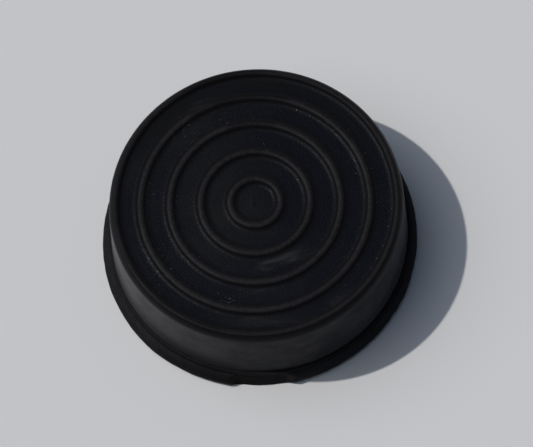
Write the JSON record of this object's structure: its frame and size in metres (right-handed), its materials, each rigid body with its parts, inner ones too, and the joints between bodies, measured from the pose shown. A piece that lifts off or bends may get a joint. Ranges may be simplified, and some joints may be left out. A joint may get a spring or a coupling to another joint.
{
  "type": "rubber foot",
  "caption": "Round slip-on rubber foot: a low cup with a flared lip round its mouth, a plain socket for a round leg and a sole of raised concentric rings.",
  "frame": {"origin": "centre of the mouth face, on the axis, where the foot stands on its mouth with the sole up", "axes": "+Z along the axis from the mouth to the sole; -Y towards the side where the gate was trimmed off the lip; +X to the right of that side"},
  "size_m": [0.04, 0.0399, 0.0134],
  "materials": {
    "rubber": "black moulded rubber with a very fine grain, satin at its edges and a little dusty and scuffed"
  },
  "bodies": {
    "root": {"rubber_foot": "rubber"}
  },
  "joints": []
}
